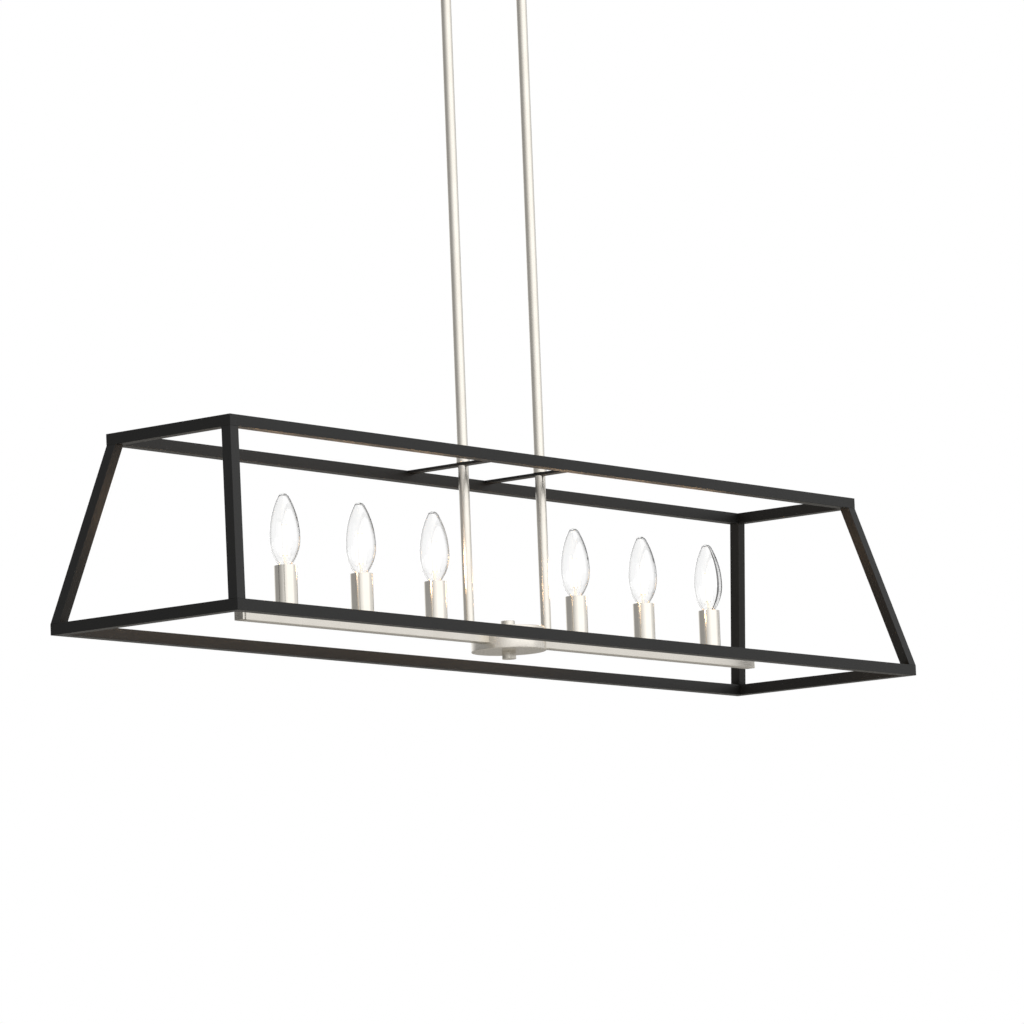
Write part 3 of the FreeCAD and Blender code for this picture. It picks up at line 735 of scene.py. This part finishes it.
def makeSticks():
    # four light strips on end caps, standing round the stem on their lead wires
    foot = stemTop - sticks["width"]
    reach = sticks["circle"] / 2
    strips, wires = [], []
    for index in range(sticks["count"]):
        turn = math.radians(360 / sticks["count"] * (index + 0.5))
        low = Vector((reach - sticks["depth"] / 2, -sticks["width"] / 2, foot))
        high = Vector((reach + sticks["depth"] / 2, sticks["width"] / 2, foot + sticks["length"]))
        strips.append(block("strip", low, high))
        pick("EDGE", lambda edge: runsAlong(edge, 2))
        bpy.ops.mesh.bevel(offset=sticks["edge"], segments=3, affect="EDGES")
        standRound(turn)
        for height in (foot + sticks["wireInset"], foot + sticks["length"] - sticks["wireInset"]):
            startObjectMode()
            bpy.ops.mesh.primitive_cylinder_add(vertices=sticks["wireSides"], radius=sticks["wire"],
                                                depth=reach, location=(reach / 2, 0, height),
                                                rotation=(0, math.pi / 2, 0))
            wires.append(named("wire"))
            editPiece(wires[-1])
            standRound(turn)
    joined = []
    for name, parts in (("lamp_1_sticks", strips), ("lamp_1_wires", wires)):
        choose(parts[0])
        for part in parts[1:]:
            part.select_set(True)
        bpy.ops.object.join()
        joined.append(easeEdges(named(name), 0))
    return joined


def makeSleeve():
    # plain cup with a hole for the nipple in its floor
    low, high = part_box("sleeve_1")
    wide = (high.x - low.x) / 2
    inner, floor = wide - candle["wall"], low.z + candle["floor"]
    outline = [(candle["hole"], low.z), (wide, low.z), (wide, high.z), (inner, high.z),
               (inner, floor), (candle["hole"], floor)]
    return easeEdges(turned("sleeve_1_cup", outline, firstX, sides=96, closed=True), candle["rim"])


def makeSocket():
    # socket on its threaded nipple, with a cup for the screw base and a contact in the cup's floor
    low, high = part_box("socket_1")
    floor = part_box("sleeve_1")[0].z + candle["floor"]
    wide = (high.x - low.x) / 2
    cupFloor = high.z - candle["cupDepth"]
    contactTop = cupFloor + candle["contactHeight"]
    outline = [(0, low.z), (candle["nipple"], low.z), (candle["nipple"], floor), (wide, floor),
               (wide, high.z), (candle["cupRadius"], high.z), (candle["cupRadius"], cupFloor),
               (candle["contact"], cupFloor), (candle["contact"], contactTop), (0, contactTop)]
    return easeEdges(turned("socket_1_body", outline, firstX, sides=64), candle["socketTop"])


def numbered(text, number):
    # a body's name, with the lamp's number where it has a place for one
    return text % number if "%" in text else text


models = [
    (makeSleeve(), "sleeve_%d_cup", "hanging_fixture", uprightNickel, "satin_nickel", "sleeve_%d"),
    (makeSocket(), "socket_%d_body", "hanging_fixture", socketPlastic, "socket_plastic", "socket_%d"),
    (makeGlass(), "lamp_%d_glass", "lamp_%d", lampGlass, "lamp_glass", "lamp_glass_%d"),
    (makeBase(), "lamp_%d_base", "lamp_%d", baseMetal, "lamp_base_metal", "lamp_base_%d"),
    (makeStem(), "lamp_%d_stem", "lamp_%d", stemGlass, "lamp_glass", "lamp_filament_%d"),
]
sticksModel, wiresModel = makeSticks()
models += [
    (sticksModel, "lamp_%d_sticks", "lamp_%d", glowStick, "filament_phosphor", "lamp_filament_%d"),
    (wiresModel, "lamp_%d_wires", "lamp_%d", baseMetal, "lamp_base_metal", "lamp_filament_%d"),
]
for model, name, body, finish, slotName, node in models:
    for number in range(2, lampCount + 1):
        piece = copyAlong(model, name % number, candleX(number) - firstX)
        settle(piece, numbered(body, number), finish, slotName, node % number)
    settle(model, numbered(body, 1), finish, slotName, node % 1)
print("candles made")


# ceiling canopy

canopy = {"wall": 1.4 * mm, "corner": 9.0 * mm, "edge": 2.0 * mm, "screwShank": 2.4 * mm,
          "screwEdge": 0.7 * mm, "knurls": 26, "knurlDepth": 0.45 * mm, "knurlSkin": 0.1 * mm}


def makeCanopy():
    # drawn pan, open towards the ceiling
    low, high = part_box("canopy")
    pan = block("canopy_pan", low, high)
    pick("EDGE", lambda edge: runsAlong(edge, 2))
    bpy.ops.mesh.bevel(offset=canopy["corner"], segments=10, affect="EDGES")
    pick("EDGE", lambda edge: all(abs(vertex.co.z - low.z) < weldGap for vertex in edge.verts))
    bpy.ops.mesh.bevel(offset=canopy["edge"], segments=5, affect="EDGES")
    pick("FACE", lambda face: face.normal.z > 0.9)
    bpy.ops.mesh.delete(type="FACE")
    choose(pan)
    shell = pan.modifiers.new("wall", "SOLIDIFY")
    shell.thickness = canopy["wall"]
    shell.offset = -1
    bpy.ops.object.modifier_apply(modifier=shell.name)
    easeEdges(pan, 0)
    settle(pan, "ceiling_mount", lengthwiseNickel, "satin_nickel", "canopy")


def makeCanopyScrew(name, side):
    # thumb screw that holds the canopy up: every second line of its head's side is moved inwards
    low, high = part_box("canopy_screws")
    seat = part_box("canopy")[0].z
    wide = (high.y - low.y) / 2
    x = side * (high.x - wide)
    edge, shank = canopy["screwEdge"], canopy["screwShank"]
    outline = [(0, low.z), (wide - 3 * edge, low.z), (wide - edge, low.z + edge / 3), (wide, low.z + edge),
               (wide, seat - edge), (wide - edge, seat), (shank, seat), (shank, high.z - edge),
               (shank - edge, high.z), (0, high.z)]
    screw = turned(name, outline, x, sides=2 * canopy["knurls"])
    editPiece(screw)
    step = math.pi / canopy["knurls"]
    innermost = wide - canopy["knurlSkin"]
    pick("VERT", lambda vertex: math.hypot(vertex.co.x - x, vertex.co.y) > innermost
         and round(math.atan2(vertex.co.y, vertex.co.x - x) / step) % 2)
    scale = 1 - canopy["knurlDepth"] / wide
    bpy.ops.transform.resize(value=(scale, scale, 1), center_override=(x, 0, seat))
    easeEdges(screw, 0)
    settle(screw, "ceiling_mount", uprightNickel, "satin_nickel", "canopy_screws")


makeCanopy()
makeCanopyScrew("canopy_screw_left", -1)
makeCanopyScrew("canopy_screw_right", 1)

# the small fittings keep their CAD form and take a finish
for node, finish in (("swivel_yokes", uprightNickel), ("swivel_tongues", uprightNickel),
                     ("hub_stud", zincPlate), ("swivel_lock_nuts", zincPlate), ("mounting_strap", zincPlate)):
    for materialSlot in frame["nodes"][node].material_slots:
        materialSlot.material = finish
print("canopy made")


# camera, at the photograph's viewing angle. place is measured from the middle of the cage's underside

view = {"place": (-5.01029, -4.09041, -0.69909), "turn": (97.63067, 2.20148, -50.56295), "lens": 199.777,
        "sensor": 36.0, "reach": 200.0}
cameraData = bpy.data.cameras.new("camera")
camera = bpy.data.objects.new("camera", cameraData)
bpy.context.scene.collection.objects.link(camera)
camera.location = Vector(view["place"]) + Vector((0, 0, cageUnder))
camera.rotation_euler = [math.radians(angle) for angle in view["turn"]]
cameraData.lens = view["lens"]
cameraData.sensor_width = view["sensor"]
cameraData.clip_end = view["reach"]
bpy.context.scene.camera = camera


# floor

# the two greys after the roughness are painted: the floor as metal reflects it, and darker beyond the lamp as
# painted shade
stage = {"height": -2.44, "size": 160.0, "dark": "#dededb", "light": "#e3e3e0", "specksPerMetre": 6.0,
         "roughness": 0.7, "fadeStart": 2.5, "fadeEnd": 9.0, "paintedReflection": "#bab7b1",
         "paintedReflectionShade": "#9a968f", "beyond": (0.775, 0.632, 0), "unlitStart": 4.0, "unlitEnd": 8.0}


def makeFloorPaint():
    # pale matt floor paint that runs into the white background away from the lamp. For glossy rays its colour
    # is a painted reflection, greyer, with painted shade on the side beyond the lamp, and from below the
    # floor isn't in the way
    finish, tree, output, place = newFinish("paleFloorPaint")
    speck = addNode(tree, "ShaderNodeTexNoise", {"Scale": stage["specksPerMetre"], "Detail": 3.0},
                    {"Vector": place})
    paint = addNode(tree, "ShaderNodeMix",
                    {"data_type": "RGBA", colourA: toLinear(stage["dark"]),
                     colourB: toLinear(stage["light"])},
                    {0: speck.outputs["Fac"]})
    beyond = addNode(tree, "ShaderNodeVectorMath", {"operation": "DOT_PRODUCT", 1: stage["beyond"]},
                     {0: place})
    unlit = addNode(tree, "ShaderNodeMapRange",
                    {"interpolation_type": "SMOOTHSTEP", "From Min": stage["unlitStart"],
                     "From Max": stage["unlitEnd"]},
                    {"Value": beyond.outputs["Value"]})
    # painted reflection: the floor's colour for glossy rays, greyer, and darker beyond the lamp as painted
    # shade
    paintedReflection = addNode(tree, "ShaderNodeMix",
                       {"data_type": "RGBA", colourA: toLinear(stage["paintedReflection"]),
                        colourB: toLinear(stage["paintedReflectionShade"])},
                       {0: unlit.outputs["Result"]})
    paths = addNode(tree, "ShaderNodeLightPath")
    colour = addNode(tree, "ShaderNodeMix", {"data_type": "RGBA"},
                     {0: paths.outputs["Is Glossy Ray"], colourA: paint.outputs[2],
                      colourB: paintedReflection.outputs[2]})
    painted = addNode(tree, "ShaderNodeBsdfPrincipled", {"Roughness": stage["roughness"]},
                      {"Base Color": colour.outputs[2]})
    distance = addNode(tree, "ShaderNodeVectorMath", {"operation": "LENGTH"}, {0: place})
    fade = addNode(tree, "ShaderNodeMapRange",
                   {"interpolation_type": "SMOOTHSTEP", "From Min": stage["fadeStart"],
                    "From Max": stage["fadeEnd"]},
                   {"Value": distance.outputs["Value"]})
    seen = addNode(tree, "ShaderNodeMath", {"operation": "ADD", "use_clamp": True},
                   {0: paths.outputs["Is Camera Ray"], 1: paths.outputs["Is Transmission Ray"]})
    share = addNode(tree, "ShaderNodeMath", {"operation": "MULTIPLY"},
                    {0: fade.outputs["Result"], 1: seen.outputs[0]})
    white = addNode(tree, "ShaderNodeEmission", {"Color": (1, 1, 1, 1), "Strength": 1.0})
    faded = addNode(tree, "ShaderNodeMixShader", None,
                    {0: share.outputs[0], 1: painted.outputs[0], 2: white.outputs[0]})
    clear = addNode(tree, "ShaderNodeBsdfTransparent")
    below = addNode(tree, "ShaderNodeNewGeometry")
    both = addNode(tree, "ShaderNodeMixShader", None,
                   {0: below.outputs["Backfacing"], 1: faded.outputs[0], 2: clear.outputs[0]})
    tree.links.new(both.outputs[0], output.inputs["Surface"])
    return finish


startObjectMode()
bpy.ops.mesh.primitive_plane_add(size=stage["size"], location=(0, 0, stage["height"]))
floor = named("studio_floor")
floor.data.materials.append(makeFloorPaint())


# lights

softboxes = {"aimHeight": 0.1,
             "keyPower": 60.0, "keySize": 2.4, "keyPlace": (1.2, -4.2, 0.9),
             "fillPower": 14.0, "fillSize": 2.5, "fillPlace": (-4.4, 1.0, 0.6)}


def addSoftbox(name, place, size, power):
    lightData = bpy.data.lights.new(name, "AREA")
    lightData.shape = "SQUARE"
    lightData.size = size
    lightData.energy = power
    light = bpy.data.objects.new(name, lightData)
    bpy.context.scene.collection.objects.link(light)
    light.location = place
    aim = Vector((0, 0, cageUnder + softboxes["aimHeight"])) - Vector(place)
    light.rotation_euler = aim.to_track_quat("-Z", "Y").to_euler()
    # metal and glass reflect the walls instead
    light.visible_glossy = False


addSoftbox("key", softboxes["keyPlace"], softboxes["keySize"], softboxes["keyPower"])
addSoftbox("fill", softboxes["fillPlace"], softboxes["fillSize"], softboxes["fillPower"])

lampGlow = {"power": 0.2, "size": 14 * mm, "colour": "#ffcf9c", "height": 18 * mm}


def addLampGlow():
    # warm light of each lit lamp, which moves with its glass. The lamps' own parts neither stop nor
    # show it, so that it reaches the nickel and the black coat without grain
    lampParts = bpy.data.collections.new("lampParts")
    for number in range(1, lampCount + 1):
        for part in ("glass", "stem", "sticks", "wires"):
            lampParts.objects.link(bpy.data.objects["lamp_%d_%s" % (number, part)])
    for lampPart in lampParts.collection_objects:
        lampPart.light_linking.link_state = "EXCLUDE"
    for number in range(1, lampCount + 1):
        lightData = bpy.data.lights.new("lampGlow_%d" % number, "POINT")
        lightData.shadow_soft_size = lampGlow["size"]
        lightData.energy = lampGlow["power"]
        lightData.color = toLinear(lampGlow["colour"])[:3]
        light = bpy.data.objects.new("lampGlow_%d" % number, lightData)
        bpy.context.scene.collection.objects.link(light)
        light.parent = bpy.data.objects["lamp_%d_glass" % number]
        light.location = (candleX(number), 0, stemTop + lampGlow["height"])
        light.visible_camera = False
        light.visible_transmission = False
        light.light_linking.blocker_collection = lampParts
        light.light_linking.receiver_collection = lampParts


addLampGlow()


# the studio round the lamp. walls gives its brightness by compass direction, in degrees from +X
# towards +Y: bright beyond the lamp with a dark gap beside that, grey at +Y and brightest at -Y

walls = ((0, 0.85), (5, 0.30), (29, 0.30), (36, 1.3), (56, 1.3), (72, 1.10), (86, 0.75), (98, 0.42),
         (155, 0.42), (183, 0.72), (204, 1.05), (222, 1.35), (240, 1.60), (296, 1.60), (308, 1.25),
         (318, 1.05), (338, 0.95))
studio = {"glassFaces": 2.5, "greyWall": 0.30, "whiteWall": 1.0, "greyBehindGlass": 0.82,
          "ceilingStart": 0.20, "ceilingEnd": 0.36, "ceiling": 0.50}


def makeStudio():
    world = bpy.data.worlds.new("studio")
    bpy.context.scene.world = world
    world.use_nodes = True
    tree = world.node_tree
    tree.nodes.clear()
    direction = addNode(tree, "ShaderNodeTexCoord").outputs["Generated"]
    parts = addNode(tree, "ShaderNodeSeparateXYZ", None, {"Vector": direction})
    compass = addNode(tree, "ShaderNodeMath", {"operation": "ARCTAN2"},
                      {0: parts.outputs["Y"], 1: parts.outputs["X"]})
    share = addNode(tree, "ShaderNodeMapRange",
                    {"From Min": -math.pi, "From Max": math.pi, "To Min": -0.5, "To Max": 0.5},
                    {"Value": compass.outputs[0]})
    wrapped = addNode(tree, "ShaderNodeMath", {"operation": "FRACT"}, {0: share.outputs[0]})
    ramp = addNode(tree, "ShaderNodeValToRGB", None, {"Fac": wrapped.outputs[0]})
    stops = ramp.color_ramp.elements
    for index, (angle, level) in enumerate(walls):
        stop = stops[index] if index < 2 else stops.new(angle / 360)
        stop.position = angle / 360
        stop.color = (level, level, level, 1)

    # what is seen past the object is white, and nearly so through both walls of a glass
    paths = addNode(tree, "ShaderNodeLightPath")
    through = addNode(tree, "ShaderNodeMath", {"operation": "GREATER_THAN", 1: studio["glassFaces"]},
                      {0: paths.outputs["Transmission Depth"]})
    unbent = addNode(tree, "ShaderNodeMath", {"operation": "MULTIPLY"},
                     {0: paths.outputs["Is Transmission Ray"], 1: through.outputs[0]})
    shade = addNode(tree, "ShaderNodeMapRange",
                    {"From Min": studio["greyWall"], "From Max": studio["whiteWall"],
                     "To Min": studio["greyBehindGlass"], "To Max": 1.0},
                    {"Value": ramp.outputs["Color"]})
    dimmed = addNode(tree, "ShaderNodeMath", {"operation": "MULTIPLY"},
                     {0: unbent.outputs[0], 1: shade.outputs[0]})
    seen = addNode(tree, "ShaderNodeMath", {"operation": "ADD", "use_clamp": True},
                   {0: paths.outputs["Is Camera Ray"], 1: dimmed.outputs[0]})
    white = addNode(tree, "ShaderNodeBackground", {"Color": (1, 1, 1, 1), "Strength": 1.0})

    # the rim of a glass bends the walls into view, with more contrast and a dim ceiling
    ceiling = addNode(tree, "ShaderNodeMapRange",
                      {"From Min": studio["ceilingStart"], "From Max": studio["ceilingEnd"],
                       "To Min": 1.0, "To Max": studio["ceiling"]},
                      {"Value": parts.outputs["Z"]})
    bent = addNode(tree, "ShaderNodeMath", {"operation": "MULTIPLY"},
                   {0: ramp.outputs["Color"], 1: ceiling.outputs[0]})
    strength = addNode(tree, "ShaderNodeMix", {"data_type": "FLOAT", "A": 1.0},
                       {"Factor": paths.outputs["Is Transmission Ray"], "B": bent.outputs[0]})
    room = addNode(tree, "ShaderNodeBackground", None,
                   {"Color": ramp.outputs["Color"], "Strength": strength.outputs[0]})
    both = addNode(tree, "ShaderNodeMixShader", None,
                   {0: seen.outputs[0], 1: room.outputs[0], 2: white.outputs[0]})
    addNode(tree, "ShaderNodeOutputWorld", None, {"Surface": both.outputs[0]})


makeStudio()
bpy.context.scene.view_settings.view_transform = "Standard"
print("studio made")
